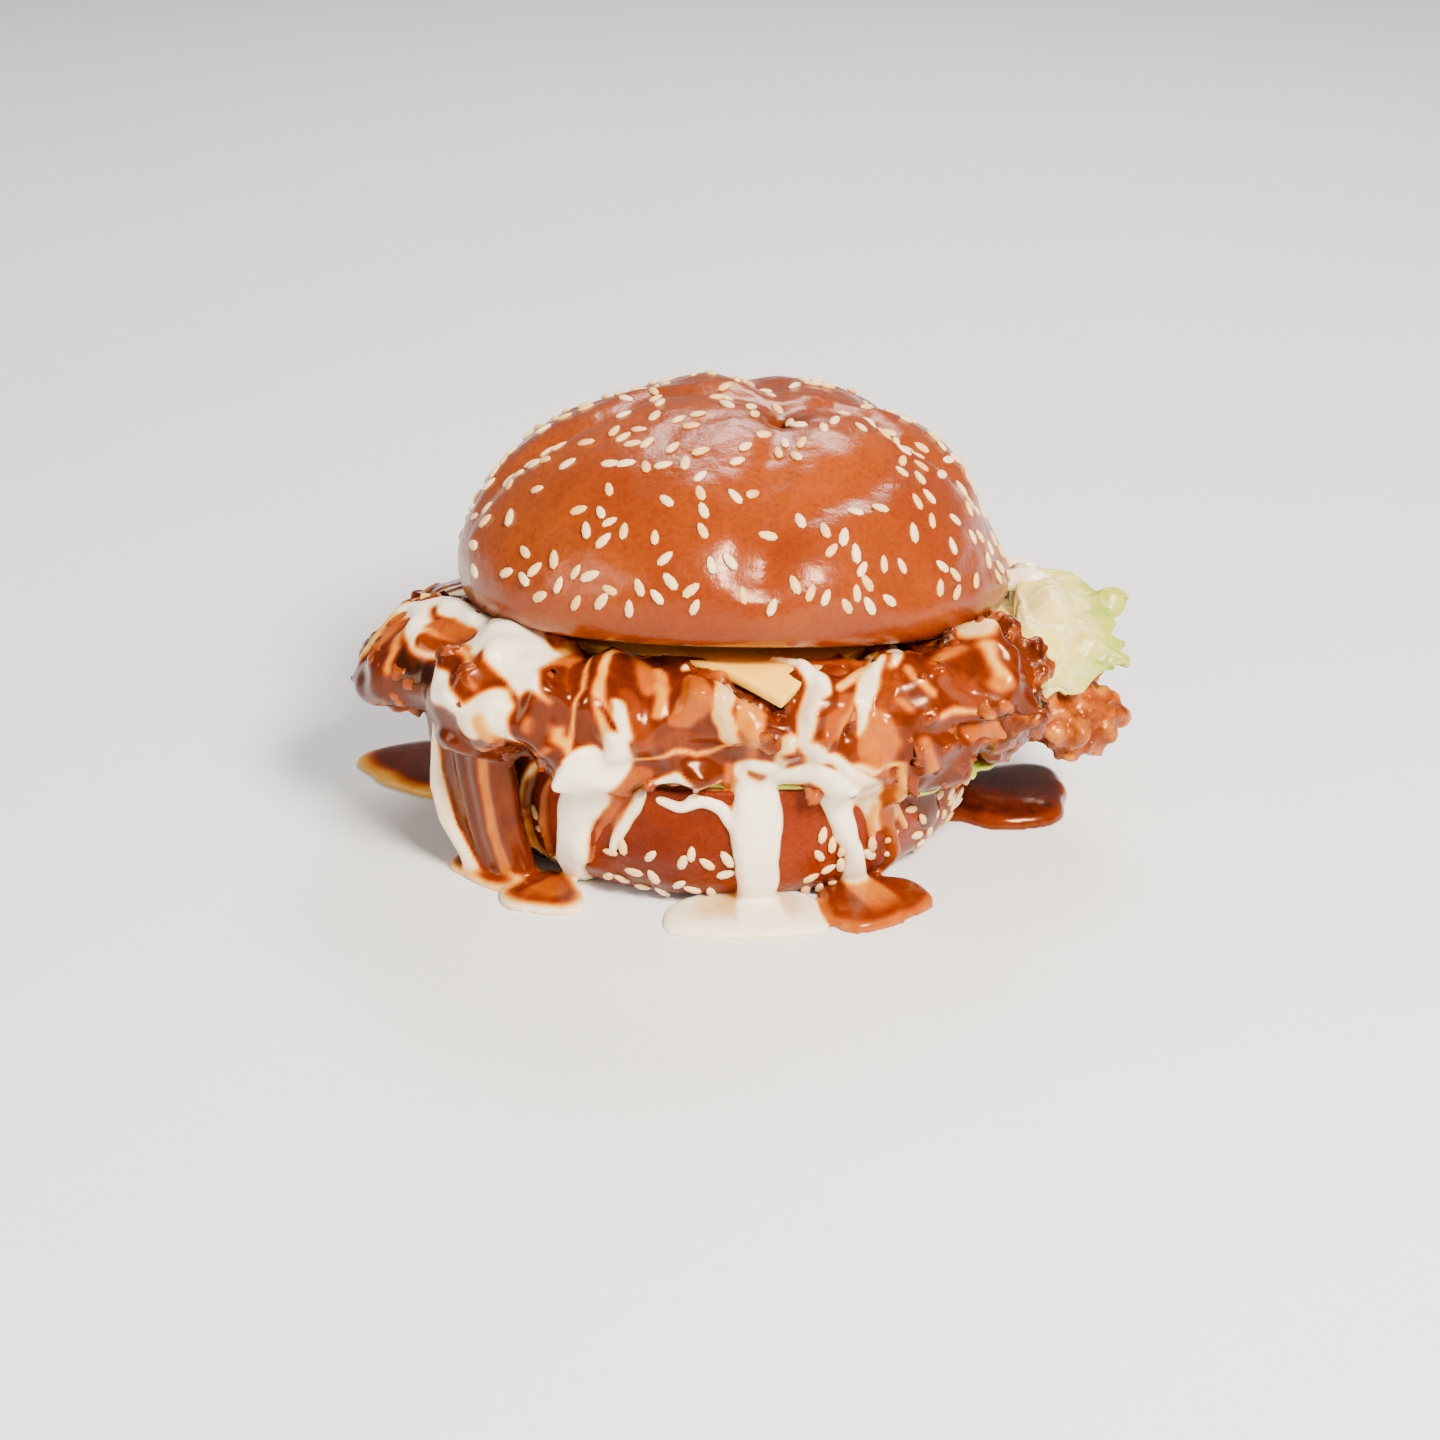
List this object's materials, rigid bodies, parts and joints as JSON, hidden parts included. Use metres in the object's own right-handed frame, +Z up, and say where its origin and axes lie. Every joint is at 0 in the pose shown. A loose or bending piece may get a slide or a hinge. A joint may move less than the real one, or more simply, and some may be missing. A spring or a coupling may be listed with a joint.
{
  "type": "chicken burger",
  "caption": "Fried chicken burger in a tall seeded bun, with a cheese slice, lettuce, and white and brown sauces that run down to the table.",
  "frame": {"origin": "centre of the bounding box at its base, where the heel of the bun stands", "axes": "+X to the right as seen from the front, +Y to the back, +Z up"},
  "size_m": [0.158, 0.122, 0.0875],
  "materials": {
    "bun_crust": "egg-washed, softly glossy",
    "fried_chicken": "crisp batter, wet with sauce",
    "cheese": "smooth, soft satin",
    "lettuce": "crisp, waxy",
    "white_sauce": "creamy, glossy",
    "brown_sauce": "sticky, glossy, a little see-through",
    "sesame_seed": "dry, satin"
  },
  "bodies": {
    "root": {"crown": "bun_crust", "lettuce_leaf_upper": "lettuce", "cheese_slice": "cheese", "chicken_fillet": "fried_chicken", "lettuce_leaf_lower": "lettuce", "heel": "bun_crust"}
  },
  "joints": []
}
